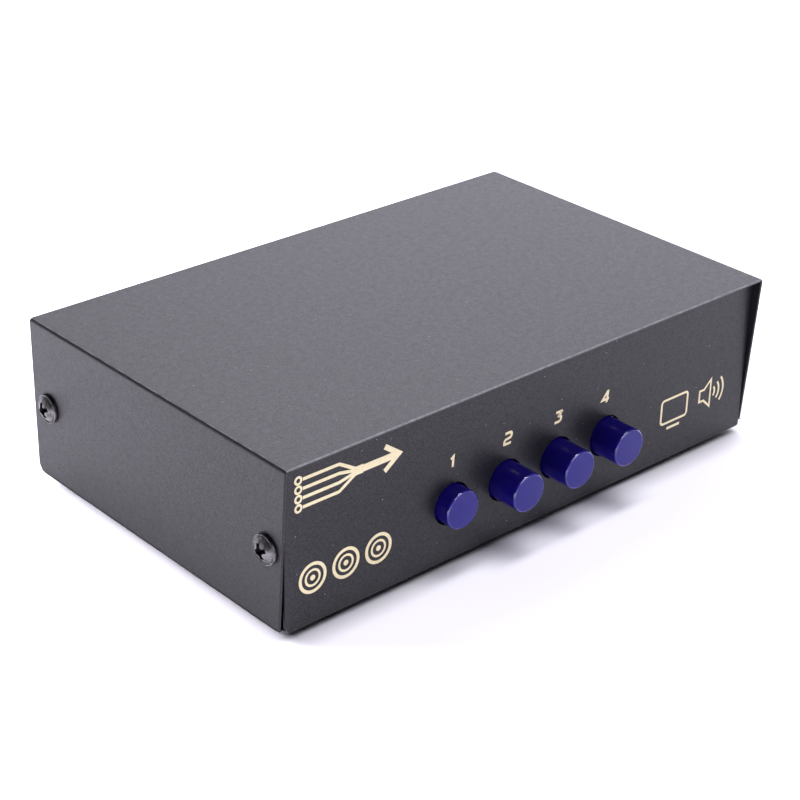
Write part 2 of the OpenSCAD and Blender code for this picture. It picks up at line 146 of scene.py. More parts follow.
def ease(ob, width, segments=3, degrees=38.0):
    """Rounds an object's sharp edges by width mm and keeps its flat faces flat."""
    ob.data.polygons.foreach_set("use_smooth", [True] * len(ob.data.polygons))
    bev = ob.modifiers.new("ease", "BEVEL")
    bev.limit_method, bev.angle_limit = "ANGLE", math.radians(degrees)
    bev.width, bev.segments, bev.profile = width * MM, segments, 0.5
    bev.use_clamp_overlap = False
    bev.miter_outer = "MITER_ARC"
    wn = ob.modifiers.new("flat", "WEIGHTED_NORMAL")
    wn.mode, wn.weight, wn.keep_sharp = "FACE_AREA", 60, False
    return settle(ob)


def rounded(points, radii, seg=6, closed=False):
    """A 2-D line with its corners rounded."""
    out, n = [], len(points)
    for i, p in enumerate(points):
        r = radii[i] if isinstance(radii, (list, tuple)) else radii
        if r <= 0 or (not closed and i in (0, n - 1)):
            out.append(tuple(p))
            continue
        b = Vector(p)
        u = (Vector(points[i - 1]) - b).normalized()
        v = (Vector(points[(i + 1) % n]) - b).normalized()
        ang = u.angle(v)
        c = b + (u + v).normalized() * (r / math.sin(ang / 2))
        s, e = b + u * (r / math.tan(ang / 2)), b + v * (r / math.tan(ang / 2))
        a0 = math.atan2(s.y - c.y, s.x - c.x)
        da = math.atan2(e.y - c.y, e.x - c.x) - a0
        da = (da + math.pi) % (2 * math.pi) - math.pi
        out += [(c.x + r * math.cos(a0 + da * k / seg), c.y + r * math.sin(a0 + da * k / seg)) for k in range(seg + 1)]
    return out


def turned(profile, n=64, at=None, closed=False):
    """Points and faces of a turned shape. The profile is (radius, height) pairs."""
    at = at or Matrix.Identity(4)
    verts, faces, rings = [], [], []
    for r, h in profile:
        if r < 1e-6:
            rings.append([len(verts)])
            verts.append(at @ Vector((0, 0, h)))
        else:
            rings.append(list(range(len(verts), len(verts) + n)))
            verts += [at @ Vector((r * math.cos(2 * math.pi * i / n), r * math.sin(2 * math.pi * i / n), h)) for i in range(n)]
    for a, b in zip(rings, rings[1:] + rings[:1] if closed else rings[1:]):
        for i in range(n):
            j = (i + 1) % n
            if len(a) == 1 and len(b) == 1:
                continue
            if len(a) == 1:
                faces.append((a[0], b[j], b[i]))
            elif len(b) == 1:
                faces.append((a[i], a[j], b[0]))
            else:
                faces.append((a[i], a[j], b[j], b[i]))
    return verts, faces


def joined(parts):
    verts, faces = [], []
    for v, f in parts:
        faces += [tuple(i + len(verts) for i in x) for x in f]
        verts += v
    return verts, faces


def fused(name, parts):
    """One closed mesh from closed shapes that overlap."""
    ob = new_object(name, *parts[0])
    for v, f in parts[1:]:
        tool = new_object("more", v, f)
        mod = ob.modifiers.new("more", "BOOLEAN")
        mod.operation, mod.solver, mod.object = "UNION", "EXACT", tool
        settle(ob)
        data = tool.data
        bpy.data.objects.remove(tool)
        bpy.data.meshes.remove(data)
    return ob


def gathered(name, made):
    """Several objects as one mesh, with their material numbers kept."""
    bm = bmesh.new()
    for ob in made:
        bm.from_mesh(ob.data)
    me = bpy.data.meshes.new(name)
    bm.to_mesh(me)
    bm.free()
    for ob in made:
        data = ob.data
        bpy.data.objects.remove(ob)
        bpy.data.meshes.remove(data)
    ob = bpy.data.objects.new(name, me)
    scene.collection.objects.link(ob)
    return ob


def facing(origin, direction, roll=0.0):
    """A placement whose local z runs along direction."""
    z = Vector(direction).normalized()
    q = z.to_track_quat("Z", "Y")
    return Matrix.Translation(Vector(origin)) @ q.to_matrix().to_4x4() @ Matrix.Rotation(math.radians(roll), 4, "Z")


def stand_for(ob, body, *names, slot=None):
    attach(ob, body)
    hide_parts(*names)
    return ob


# ---------------------------------------------------------------- materials
class Finish:
    """A node material on the principled shader, with points in the object's own space."""

    def __init__(self, name, rough=0.5, metal=0.0, level=0.5):
        self.m = bpy.data.materials.new(name)
        self.m.use_nodes = True
        self.t = self.m.node_tree
        self.t.nodes.clear()
        out = self.t.nodes.new("ShaderNodeOutputMaterial")
        self.b = self.t.nodes.new("ShaderNodeBsdfPrincipled")
        self.t.links.new(self.b.outputs["BSDF"], out.inputs["Surface"])
        self.b.inputs["Roughness"].default_value = rough
        self.b.inputs["Metallic"].default_value = metal
        self.b.inputs["Specular IOR Level"].default_value = level
        self.co = self.t.nodes.new("ShaderNodeTexCoord").outputs["Object"]

    def put(self, kind, **inputs):
        n = self.t.nodes.new(kind)
        for k, v in inputs.items():
            key = k.replace("_", " ") if k.replace("_", " ") in n.inputs else k
            if isinstance(v, bpy.types.NodeSocket):
                self.t.links.new(v, n.inputs[key])
            else:
                n.inputs[key].default_value = v
        return n

    def noise(self, mm, detail=2.0, rough=0.5, co=None):
        return self.put("ShaderNodeTexNoise", Vector=co or self.co, Scale=1000.0 / mm, Detail=detail, Roughness=rough).outputs["Fac"]

    def stretched(self, x, y, z):
        n = self.put("ShaderNodeMapping", Vector=self.co)
        n.inputs["Scale"].default_value = (x, y, z)
        return n.outputs["Vector"]

    def math(self, op, a, b=0.0, c=0.0, clamp=False):
        n = self.t.nodes.new("ShaderNodeMath")
        n.operation, n.use_clamp = op, clamp
        for i, v in enumerate((a, b, c)):
            if isinstance(v, bpy.types.NodeSocket):
                self.t.links.new(v, n.inputs[i])
            else:
                n.inputs[i].default_value = v
        return n.outputs[0]

    def span(self, value, lo, hi, to_lo, to_hi):
        n = self.put("ShaderNodeMapRange", Value=value)
        for k, v in (("From Min", lo), ("From Max", hi), ("To Min", to_lo), ("To Max", to_hi)):
            n.inputs[k].default_value = v
        return n.outputs["Result"]

    def mix(self, fac, a, b):
        n = self.t.nodes.new("ShaderNodeMix")
        n.data_type = "RGBA"
        for k, v in (("Factor_Float", fac), ("A_Color", a), ("B_Color", b)):
            s = next(i for i in n.inputs if i.identifier == k)
            if isinstance(v, bpy.types.NodeSocket):
                self.t.links.new(v, s)
            else:
                s.default_value = (*v, 1.0) if isinstance(v, tuple) else v
        return next(o for o in n.outputs if o.identifier == "Result_Color")

    def to(self, name, socket):
        self.t.links.new(socket, self.b.inputs[name])

    def bump(self, height, depth_mm, strength=1.0):
        n = self.put("ShaderNodeBump", Height=height, Strength=strength, Distance=depth_mm * MM)
        self.to("Normal", n.outputs["Normal"])


def two_tone(name, a, b, mm=3.0, rough=(0.4, 0.55), metal=0.0, bump_mm=0.0, bump=0.3, level=0.5, detail=3.0):
    """A finish whose colour and gloss drift a little over the surface."""
    f = Finish(name, sum(rough) / 2, metal, level)
    n = f.noise(mm, detail)
    f.to("Base Color", f.mix(f.span(n, 0.3, 0.7, 0.0, 1.0), a, b))
    f.to("Roughness", f.span(f.noise(mm * 0.6, detail), 0.3, 0.7, *rough))
    if bump_mm:
        f.bump(f.noise(bump_mm, 2.0), 0.05, bump)
    return f.m


def powder_coat(name, edge_highlight_at=None, rough=(0.41, 0.47), level=(0.29, 0.47)):
    """Black powder coat: fine grain over a faint orange peel, with a few pale specks of dust.
    Pale paint along the edge at the given (y, z), in mm, and in a thin line along both bends, is painted highlight
    where those edges catch light."""
    f = Finish(name, 0.44, 0.0, 0.38)
    grain = f.noise(0.26, 3.0, 0.6)
    peel = f.noise(1.6, 2.0)
    cloud = f.noise(22.0, 3.0)
    base = f.mix(f.span(grain, 0.36, 0.64, 0.0, 1.0), (0.009, 0.0087, 0.011), (0.021, 0.0203, 0.025))
    base = f.mix(f.span(cloud, 0.3, 0.7, 0.0, 0.35), base, (0.012, 0.0116, 0.0145))
    vor = f.put("ShaderNodeTexVoronoi", Vector=f.co, Scale=1000.0 / 2.0)
    pick = f.put("ShaderNodeSeparateColor", Color=vor.outputs["Color"])
    dot = f.math("LESS_THAN", vor.outputs["Distance"], 0.055)
    some = f.math("GREATER_THAN", pick.outputs["Red"], 0.70)
    speck = f.math("MULTIPLY", f.math("MULTIPLY", dot, some), f.span(pick.outputs["Green"], 0.0, 1.0, 0.15, 0.85))
    base = f.mix(speck, base, (0.42, 0.41, 0.40))
    if edge_highlight_at:
        at = f.put("ShaderNodeSeparateXYZ", Vector=f.co).outputs
        # painted highlight: a pale band along the top's rounded front edge
        off = f.math("ADD", f.math("SUBTRACT", at["Y"], edge_highlight_at[0] * MM), f.math("SUBTRACT", edge_highlight_at[1] * MM, at["Z"]))
        painted_edge_highlight = f.math("MULTIPLY", f.span(off, 0.18 * MM, 0.42 * MM, 1.0, 0.0), f.span(f.noise(1.1, 3.0), 0.3, 0.7, 0.55, 1.0))
        base = f.mix(painted_edge_highlight, base, (0.40, 0.39, 0.41))
        # painted highlight: a thin pale line along both bends of the top
        line = f.math("ABSOLUTE", f.math("SUBTRACT", f.math("ABSOLUTE", at["X"]), (CASE_X - BEND + 0.30) * MM))
        line = f.math("MULTIPLY", f.span(line, 0.06 * MM, 0.22 * MM, 1.0, 0.0), f.math("GREATER_THAN", at["Z"], (edge_highlight_at[1] - 0.3) * MM))
        base = f.mix(f.math("MULTIPLY", line, f.span(f.noise(3.5, 4.0), 0.35, 0.65, 0.30, 0.95)), base, (0.30, 0.295, 0.31))
    f.to("Base Color", base)
    f.to("Roughness", f.span(peel, 0.3, 0.7, *rough))
    f.to("Specular IOR Level", f.span(grain, 0.36, 0.64, *level))
    height = f.math("ADD", f.math("MULTIPLY", grain, 0.6), f.math("MULTIPLY", peel, 0.4))
    f.bump(height, 0.055, 0.8)
    return f.m


def cap_plastic(name):
    """Glossy moulded blue plastic with faint handling haze; the rim round the face carries a painted reflection in a
    paler blue, and is polished along its upper half.
    """
    f = Finish(name, 0.08, 0.0, 0.34)
    haze = f.noise(2.2, 4.0, 0.6)
    normal = next(n for n in f.t.nodes if n.bl_idname == "ShaderNodeTexCoord").outputs["Normal"]
    way = f.put("ShaderNodeSeparateXYZ", Vector=normal).outputs
    lean = f.math("ABSOLUTE", way["Y"])
    rim = f.math("MULTIPLY", f.span(lean, 0.10, 0.35, 0.0, 1.0), f.span(lean, 0.90, 0.995, 1.0, 0.0))
    base = f.mix(f.span(haze, 0.3, 0.7, 0.0, 1.0), (0.010, 0.005, 0.177), (0.012, 0.007, 0.203))
    # painted reflection: the rim round the face is mixed to a paler blue
    f.to("Base Color", f.mix(rim, base, (0.020, 0.015, 0.250)))
    f.to("Roughness", f.mix(rim, f.span(f.noise(0.9, 3.0), 0.3, 0.7, 0.06, 0.11), (0.10, 0.10, 0.10)))
    f.to("Specular IOR Level", f.span(rim, 0.0, 1.0, 0.34, 0.62))
    f.to("Coat Weight", f.math("MULTIPLY", rim, f.span(way["Z"], -0.1, 0.3, 0.0, 0.9)))
    f.b.inputs["Coat IOR"].default_value, f.b.inputs["Coat Roughness"].default_value = 1.8, 0.06
    f.bump(f.noise(0.5, 2.0), 0.01, 0.10)
    return f.m


def screw_black(name):
    """Black-plated steel: a dark bright metal with fine turning marks."""
    f = Finish(name, 0.42, 1.0, 0.5)
    n = f.noise(1.1, 3.0, 0.5)
    f.to("Base Color", f.mix(f.span(n, 0.36, 0.64, 0.0, 1.0), (0.10, 0.096, 0.098), (0.21, 0.203, 0.206)))
    f.to("Roughness", f.span(f.noise(0.35, 3.0), 0.3, 0.7, 0.36, 0.50))
    f.bump(f.noise(0.8, 2.0), 0.06, 0.35)
    return f.m


def board_green(name):
    """Solder-masked board with copper runs showing through as lighter lines."""
    f = Finish(name, 0.35, 0.0, 0.5)
    w = f.put("ShaderNodeTexWave", Vector=f.stretched(1.0, 0.35, 0.6), Scale=1000.0 / 22.0, Distortion=2.4, Detail=1.0)
    run = f.math("GREATER_THAN", w.outputs["Fac"], 0.62)
    base = f.mix(run, (0.010, 0.085, 0.026), (0.022, 0.150, 0.045))
    f.to("Base Color", f.mix(f.span(f.noise(5.0, 3.0), 0.35, 0.65, 0.0, 0.5), base, (0.012, 0.100, 0.032)))
    f.to("Roughness", f.span(f.noise(2.0, 2.0), 0.3, 0.7, 0.28, 0.42))
    f.bump(run, 0.03, 0.4)
    return f.m


def ribbon_grey(name):
    """Flat cable: grey cores side by side across its width."""
    f = Finish(name, 0.5, 0.0, 0.4)
    w = f.put("ShaderNodeTexWave", Vector=f.co, Scale=1000.0 / 8.0)
    w.bands_direction = "X"
    f.to("Base Color", f.mix(f.span(w.outputs["Fac"], 0.0, 0.5, 0.0, 1.0), (0.20, 0.20, 0.21), (0.38, 0.38, 0.40)))
    f.to("Roughness", f.span(f.noise(1.5, 2.0), 0.3, 0.7, 0.42, 0.58))
    f.bump(w.outputs["Fac"], 0.15, 0.5)
    return f.m


PAINT = powder_coat("powder_coat", rough=(0.31, 0.37), level=(0.25, 0.40))
COVER_PAINT = powder_coat("powder_coat_cover", (TOP_YF, TOP_Z))
CAP = cap_plastic("cap_plastic")
BLACK_SCREW = screw_black("black_screw")
# painted shade: the cross recess is coloured near black for the shade inside it
RECESS_SHADE = two_tone("recess_painted_shade", (0.004, 0.004, 0.004), (0.010, 0.010, 0.010), 0.5, (0.55, 0.75), bump_mm=0.3, bump=0.3, level=0.2)
RUBBER = two_tone("foot_rubber", (0.016, 0.016, 0.016), (0.030, 0.030, 0.031), 1.2, (0.70, 0.85), bump_mm=0.4, bump=0.5, level=0.3)
PRINT = two_tone("print_cream", (0.82, 0.70, 0.42), (0.89, 0.79, 0.53), 0.7, (0.45, 0.60), bump_mm=0.3, bump=0.15)
ZINC = two_tone("zinc_plate", (0.52, 0.53, 0.55), (0.64, 0.65, 0.66), 0.9, (0.22, 0.36), 1.0, 0.3, 0.15)
NICKEL = two_tone("nickel_plate", (0.60, 0.57, 0.53), (0.70, 0.67, 0.62), 1.4, (0.14, 0.24), 1.0, 0.4, 0.08)
BRASS = two_tone("brass", (0.60, 0.42, 0.15), (0.74, 0.54, 0.24), 1.0, (0.24, 0.40), 1.0, 0.4, 0.15)
SPRING = two_tone("spring_wire", (0.46, 0.46, 0.47), (0.60, 0.60, 0.61), 0.8, (0.20, 0.34), 1.0, 0.2, 0.15)
TIN = two_tone("tinned_pin", (0.58, 0.57, 0.54), (0.72, 0.71, 0.68), 0.6, (0.26, 0.42), 1.0, 0.3, 0.15)
STEEL = two_tone("frame_steel", (0.44, 0.44, 0.43), (0.56, 0.56, 0.55), 1.6, (0.28, 0.44), 1.0, 0.5, 0.15)
MOULD_BLACK = two_tone("moulded_black", (0.020, 0.020, 0.022), (0.034, 0.034, 0.036), 1.8, (0.40, 0.55), bump_mm=0.5, bump=0.2)
IVORY = two_tone("plunger_ivory", (0.66, 0.63, 0.54), (0.74, 0.71, 0.63), 2.0, (0.36, 0.50), bump_mm=0.6, bump=0.12)
YELLOW = two_tone("jack_yellow", (0.74, 0.46, 0.012), (0.84, 0.55, 0.025), 1.5, (0.24, 0.36), bump_mm=0.5, bump=0.10)
WHITE = two_tone("jack_white", (0.74, 0.73, 0.70), (0.84, 0.83, 0.80), 1.5, (0.24, 0.36), bump_mm=0.5, bump=0.10)
RED = two_tone("jack_red", (0.48, 0.012, 0.014), (0.60, 0.022, 0.022), 1.5, (0.24, 0.36), bump_mm=0.5, bump=0.10)
BOARD = board_green("board_green")
RIBBON = ribbon_grey("ribbon_grey")


# ---------------------------------------------------------------- cover
def edge_y(z, front):
    """y of the sides' front or rear edge at height z, corner included."""
    if not front:
        if z >= LOW_Z + CORNER_R:
            return TOP_YR
        return TOP_YR - CORNER_R + math.sqrt(max(0.0, CORNER_R**2 - (LOW_Z + CORNER_R - z) ** 2))
    k = LEAN / (TOP_Z - LOW_Z)  # lean per mm of height
    line = TOP_YF + k * (TOP_Z - z)
    cz = LOW_Z + CORNER_F
    cy = TOP_YF + k * (TOP_Z - cz) + CORNER_F * math.sqrt(1 + k * k)
    touch = cz - CORNER_F * k / math.sqrt(1 + k * k)
    if z >= touch:
        return line
    return cy - math.sqrt(max(0.0, CORNER_F**2 - (cz - z) ** 2))


def build_cover():
    """U-shaped hood: outer and inner skins set out in columns from the lower left edge, over the top, to the lower right edge."""
    side = {round(LOW_Z + r * (1 - math.cos(math.radians(a))), 4) for r in (CORNER_F, CORNER_R) for a in range(0, 91, 9)}
    side = sorted(side) + [8.0, 16.0, 24.0, 32.0, TOP_Z - BEND - 0.6]
    cols = [((-CASE_X, z), (-CASE_X + SHEET, z)) for z in side]
    steps = 10
    for k in range(steps + 1):
        a = math.radians(90.0 * k / steps)
        c = (-CASE_X + BEND, TOP_Z - BEND)
        o = (c[0] - BEND * math.cos(a), c[1] + BEND * math.sin(a))
        i = (c[0] - (BEND - SHEET) * math.cos(a), c[1] + (BEND - SHEET) * math.sin(a))
        cols.append((o, i))
    cols += [((x, TOP_Z), (x, TOP_Z - SHEET)) for x in (-72.0, -40.0, -12.0)]
    cols += [((-o[0], o[1]), (-i[0], i[1])) for o, i in reversed(cols)]
    verts, faces = [], []
    for (ox, oz), (ix, iz) in cols:
        # both skins of a column end on one straight cut
        zf = oz if abs(ox) >= CASE_X - 1e-6 else max(oz, iz)
        yf, yr = edge_y(zf, True), edge_y(zf, False)
        verts += [(ox, yf, oz), (ox, yr, oz), (ix, yf, iz), (ix, yr, iz)]
    for j in range(len(cols) - 1):
        a, b = 4 * j, 4 * j + 4
        faces += [(a, a + 1, b + 1, b), (a + 2, b + 2, b + 3, a + 3), (a, b, b + 2, a + 2), (a + 1, a + 3, b + 3, b + 1)]
    last = 4 * (len(cols) - 1)
    faces += [(0, 2, 3, 1), (last, last + 1, last + 3, last + 2)]
    ob = new_object("cover_shell", verts, faces)
    ease(ob, 0.26, 3)
    ob.data.materials.append(COVER_PAINT)
    return stand_for(ob, "case", "top_cover", slot="case_paint")


build_cover()


# ---------------------------------------------------------------- tray
def tray_line(off):
    """Front panel, floor and rear panel as one line in (y, z), set in by off."""
    yf, yr, zl, r = PAN_YF + off, PAN_YR - off, TRAY_Z + off, max(0.2, FOLD - off)
    line = [(yf, PAN_Z), (yf, 30.0), (yf, 22.0), (yf, 10.0)]
    for k in range(9):
        a = math.radians(90.0 * k / 8)
        line.append((yf + r - r * math.cos(a), zl + r - r * math.sin(a)))
    line += [(-20.0, zl), (10.0, zl)]
    for k in range(9):
        a = math.radians(90.0 * k / 8)
        line.append((yr - r + r * math.sin(a), zl + r - r * math.cos(a)))
    return line + [(yr, 10.0), (yr, 22.0), (yr, 30.0), (yr, PAN_Z)]


def build_tray():
    outer, inner = tray_line(0.0), tray_line(SHEET)
    n = len(outer)
    verts = [(x, y, z) for line in (outer, inner) for x in (PAN_C - PAN_X, PAN_C + PAN_X) for y, z in line]
    o0, o1, i0, i1 = 0, n, 2 * n, 3 * n
    faces = []
    for k in range(n - 1):
        faces += [(o0 + k, o1 + k, o1 + k + 1, o0 + k + 1), (i0 + k, i0 + k + 1, i1 + k + 1, i1 + k)]
        faces += [(o0 + k, o0 + k + 1, i0 + k + 1, i0 + k), (o1 + k, i1 + k, i1 + k + 1, o1 + k + 1)]
    for k in (0, n - 1):
        faces.append((o0 + k, i0 + k, i1 + k, o1 + k))
    ob = new_object("tray", verts, faces)
    ob.data.materials.append(PAINT)
    parts = []
    # openings for the four keys
    for x in KEY_X:
        parts.append(turned([(0, 0), (HOLE_R, 0), (HOLE_R, 4.0), (0, 4.0)], 96, facing((x, PAN_YF - 1.5, KEY_Z), (0, 1, 0))))
    # cropped lower corners of both panels: the front left one is deeper
    for s, y, w, h in ((-1, PAN_YF - 1, 1.2, 2.2), (1, PAN_YF - 1, 0.5, 0.8), (-1, PAN_YR - 2, 0.5, 0.8), (1, PAN_YR - 2, 0.5, 0.8)):
        crop = [(PAN_X + 1, TRAY_Z - 1), (PAN_X + 1, TRAY_Z + h * (1 + 1 / w)), (PAN_X, TRAY_Z + h), (PAN_X - w, TRAY_Z), (PAN_X - w, TRAY_Z - 1)]
        v = [(PAN_C + s * x, y + d, z) for d in (0.0, 3.0) for x, z in crop]
        f = [tuple(range(5)), tuple(range(5, 10))] + [(i, (i + 1) % 5, 5 + (i + 1) % 5, 5 + i) for i in range(5)]
        parts.append((v, f))
    tool = new_object("tray_cuts", *joined(parts))
    tool.data.materials.append(PAINT)
    cut(ob, tool)
    ease(ob, 0.20, 3)
    return stand_for(ob, "case", "chassis", slot="case_paint")


def build_tabs():
    """The four folded tabs behind the sides, which take the cover screws."""
    parts = []
    for s in (-1, 1):
        for y0, y1 in ((PAN_YF + 0.6, SCREW_Y[0] + 5.5), (SCREW_Y[1] - 5.5, PAN_YR - 0.6)):
            near, far = (y0, y1) if y0 < 0 else (y1, y0)
            out = rounded([(near, SCREW_Z - 8), (far, SCREW_Z - 8), (far, SCREW_Z + 8), (near, SCREW_Z + 8)], [0, 2.0, 2.0, 0], 6, True)
            v = [(PAN_C + s * (PAN_X - t), y, z) for t in (0.0, SHEET) for y, z in out]
            n = len(out)
            parts.append((v, [tuple(range(n)), tuple(range(n, 2 * n))] + [(i, (i + 1) % n, n + (i + 1) % n, n + i) for i in range(n)]))
    ob = new_object("tray_tabs", *joined(parts))
    ease(ob, 0.15, 2)
    ob.data.materials.append(PAINT)
    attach(ob, "case")
    return ob


build_tray()
build_tabs()


# ---------------------------------------------------------------- screws
def cross_cutter(at, span, width, deep, top):
    """A cross recess: four wings that narrow downwards round a fuller, tapered middle."""
    parts = []
    for turn, more in ((0.0, 0.0), (90.0, 0.04)):
        m = at @ Matrix.Rotation(math.radians(turn), 4, "Z")
        s, w = span / 2, width / 2
        sec = [(top + 0.6, s + 0.15, w + 0.02), (top, s, w), (top - deep * 0.55, s * 0.70, w * 0.90), (top - deep - more, s * 0.40, w * 0.60)]
        v = [m @ Vector((sx * a, sy * b, h)) for h, a, b in sec for sx, sy in ((-1, -1), (1, -1), (1, 1), (-1, 1))]
        f = [(0, 1, 2, 3), (12, 13, 14, 15)]
        for k in range(3):
            f += [(4 * k + i, 4 * k + (i + 1) % 4, 4 * k + 4 + (i + 1) % 4, 4 * k + 4 + i) for i in range(4)]
        parts.append((v, f))
    core = [(0, top - deep - 0.1), (width * 0.55, top - deep - 0.1), (width * 0.98, top), (width * 1.05, top + 0.65), (0, top + 0.65)]
    parts.append(turned(core, 24, at))
    return parts


def dome(radius, height, base, n=14):
    """(radius, height) pairs up a shallow dome, from its foot to its top."""
    big = (radius**2 + height**2) / (2 * height)
    a0 = math.asin(min(1.0, radius / big))
    return [(big * math.sin(a0 * (1 - k / n)), base + height - big + big * math.cos(a0 * (1 - k / n))) for k in range(n + 1)]


def tidy(ob):
    """Merges the points that a cut leaves almost on top of each other."""
    bm = bmesh.new()
    bm.from_mesh(ob.data)
    bmesh.ops.remove_doubles(bm, verts=bm.verts, dist=2e-6)
    bmesh.ops.dissolve_degenerate(bm, edges=bm.edges, dist=1e-6)
    bm.to_mesh(ob.data)
    bm.free()
    return ob


def screw_piece(name, places, profile, recess, paint):
    """One screw is made at the origin, and copies of it are set in their places."""
    here = Matrix.Identity(4)
    one = new_object("one_screw", *turned(profile, 72, here))
    one.data.materials.append(paint)
    for v, f in cross_cutter(here, *recess):
        tool = new_object("recess", v, f)
        # the recess walls take the near-black painted shade
        tool.data.materials.append(RECESS_SHADE)
        cut(one, tool)
    tidy(one)
    made = []
    for at in places:
        ob = one.copy()
        ob.data = one.data.copy()
        ob.data.transform(Matrix.Translation(at.translation * MM) @ at.to_3x3().to_4x4())
        scene.collection.objects.link(ob)
        made.append(ob)
    data = one.data
    bpy.data.objects.remove(one)
    bpy.data.meshes.remove(data)
    ob = gathered(name, made)
    smooth(ob, 32.0)
    ob.data.materials.append(paint)
    ob.data.materials.append(RECESS_SHADE)
    return ob


def washer_profile():
    """Shank, thick washer flange with a rounded lip and a dished face, a groove, and the domed head."""
    r, h = HEAD_R, HEAD_H
    skin = [(0, -6.0), (1.15, -6.0), (1.45, -5.6), (1.45, -0.02), (1.75, 0.0), (r - 0.30, 0.0), (r - 0.10, 0.10)]
    skin += [(r, 0.24), (r, 0.66), (r - 0.05, 0.78), (r - 0.13, 0.85), (r - 0.21, 0.86), (r - 0.30, 0.81), (3.16, 0.64), (3.07, 0.60)]
    return skin + dome(2.98, h - 0.02 - 0.72, 0.72)


cover_places = [facing((s * CASE_X, SCREW_Y[i], SCREW_Z), (s, 0, 0), r) for s, i, r in ((-1, 0, 24.0), (-1, 1, 24.0), (1, 0, 40.0), (1, 1, -14.0))]
stand_for(screw_piece("cover_screw_heads", cover_places, washer_profile(), (4.4, 1.10, 1.6, HEAD_H - 0.02), BLACK_SCREW), "case", "cover_screws", slot="black_screw")


def pan_profile(r, h, shank, length):
    top = dome(r - 0.25, h * 0.42, h * 0.58, 10)
    return [(0, -length), (shank - 0.3, -length), (shank, -length + 0.35), (shank, 0.0), (r - 0.12, 0.0), (r, 0.12), (r, h * 0.50)] + top


jack_places = []
for i, x in enumerate(JACK_X):
    jack_places.append(facing((x + 6.6, PAN_YR, JACK_Z["white"] - 6), (0, 1, 0), 17.0 * i))
    jack_places.append(facing((x - 6.6, PAN_YR, JACK_Z["white"] + 6), (0, 1, 0), 40.0 - 23.0 * i))
stand_for(screw_piece("jack_screw_heads", jack_places, pan_profile(2.5, 1.8, 1.15, 7.0), (2.9, 0.66, 1.1, 1.8), BLACK_SCREW), "case", "jack_screws", slot="black_screw")

floor_places = [facing((x, y, TRAY_Z), (0, 0, -1), 30.0 * i + 7.0 * j) for i, x in enumerate(PIN_X) for j, y in enumerate(PIN_Y)]
stand_for(screw_piece("floor_screw_heads", floor_places, pan_profile(2.75, PIN_H, 1.4, 3.1), (3.1, 0.66, 0.8, PIN_H), BLACK_SCREW), "case", "floor_screws", slot="black_screw")


# ---------------------------------------------------------------- feet
foot = rounded([(0, 0), (FOOT_R - 0.45, 0), (FOOT_R, FOOT_H), (0, FOOT_H)], [0, 0.5, 0.12, 0], 5)
foot = [(0, 0.12), (2.1, 0.12), (2.5, 0.0)] + foot[1:]
parts = [turned(foot, 56, Matrix.Translation((x, y, 0.0))) for x in FOOT_X for y in FOOT_Y]
ob = smooth(new_object("rubber_foot_set", *joined(parts)), 30)
ob.data.materials.append(RUBBER)
stand_for(ob, "case", "rubber_feet", slot="foot_rubber")


# ---------------------------------------------------------------- keys
def build_cap(k):
    """A round cap: flat face, rounded rim, slight draft, hollow behind."""
    x, face = KEY_X[k], KEY_FACE[k]
    skin = rounded([(0, 0.0), (CAP_R - 0.08, 0.0), (CAP_R, CAP_L), (3.75, CAP_L), (3.75, 4.0), (2.75, 3.6), (0, 3.6)], [0, 0.50, 0.18, 0.15, 0.2, 0.1, 0], 9)
    ob = smooth(new_object(f"key_{k + 1}_cap", *turned(skin, 96, facing((x, face, KEY_Z), (0, 1, 0)))), 40)
    ob.data.materials.append(CAP)
    return stand_for(ob, f"key_{k + 1}", f"key_cap_{k + 1}", slot="cap_blue")


for k in range(4):
    build_cap(k)


def coil(name, start, end, radius, wire, turns, seg=28, m=10):
    """A closed-end coil spring between two points."""
    a, b = Vector(start), Vector(end)
    at = facing(a, b - a)
    length, n = (b - a).length, int(turns * seg)
    lead = 0.8 / turns  # share of the turns that lies flat at each end
    verts, faces = [], []
    for i in range(n + 1):
        t = i / n
        rise = 0.16
        if t < lead:
            s = rise * (t / lead) * 0.5
        elif t > 1 - lead:
            s = 1 - rise * ((1 - t) / lead) * 0.5
        else:
            s = rise * 0.5 + (1 - rise) * (t - lead) / (1 - 2 * lead)
        h = wire / 2 + 0.03 + (length - wire - 0.06) * s
        ang = 2 * math.pi * turns * t
        for j in range(m):
            c = 2 * math.pi * j / m
            q = radius + wire / 2 * math.cos(c)
            verts.append(at @ Vector((q * math.cos(ang), q * math.sin(ang), h + wire / 2 * math.sin(c))))
    for i in range(n):
        for j in range(m):
            p, q = i * m + j, i * m + (j + 1) % m
            faces.append((p, q, q + m, p + m))
    faces += [tuple(range(m)), tuple(range(n * m, n * m + m))]
    ob = smooth(new_object(name, verts, faces), 50)
    ob.data.materials.append(SPRING)
    return ob


for k in range(1, 4):
    x = KEY_X[k]
    ob = coil(f"return_spring_{k + 1}", (x, PLATE_Y, KEY_Z), (x, KEY_FACE[k] + CAP_L, KEY_Z), 3.3, 0.45, 4)
    stand_for(ob, "case", f"key_spring_{k + 1}", slot="spring_steel")
    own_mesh(ob)

x = KEY_X[0]
ob = coil("return_spring_1", (x, PLATE_Y, KEY_Z), (x, KEY_FACE[0] + CAP_L, KEY_Z), 3.3, 0.45, 4)
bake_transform(ob)
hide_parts("key_spring_1")

lo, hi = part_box("latch_spring")
sy, sz = (lo.y + hi.y) / 2 / MM, (lo.z + hi.z) / 2 / MM
ob = coil("bar_spring", (hi.x / MM, sy, sz), (lo.x / MM, sy, sz), 2.5, 0.35, 5, 24, 8)
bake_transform(ob)
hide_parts("latch_spring")


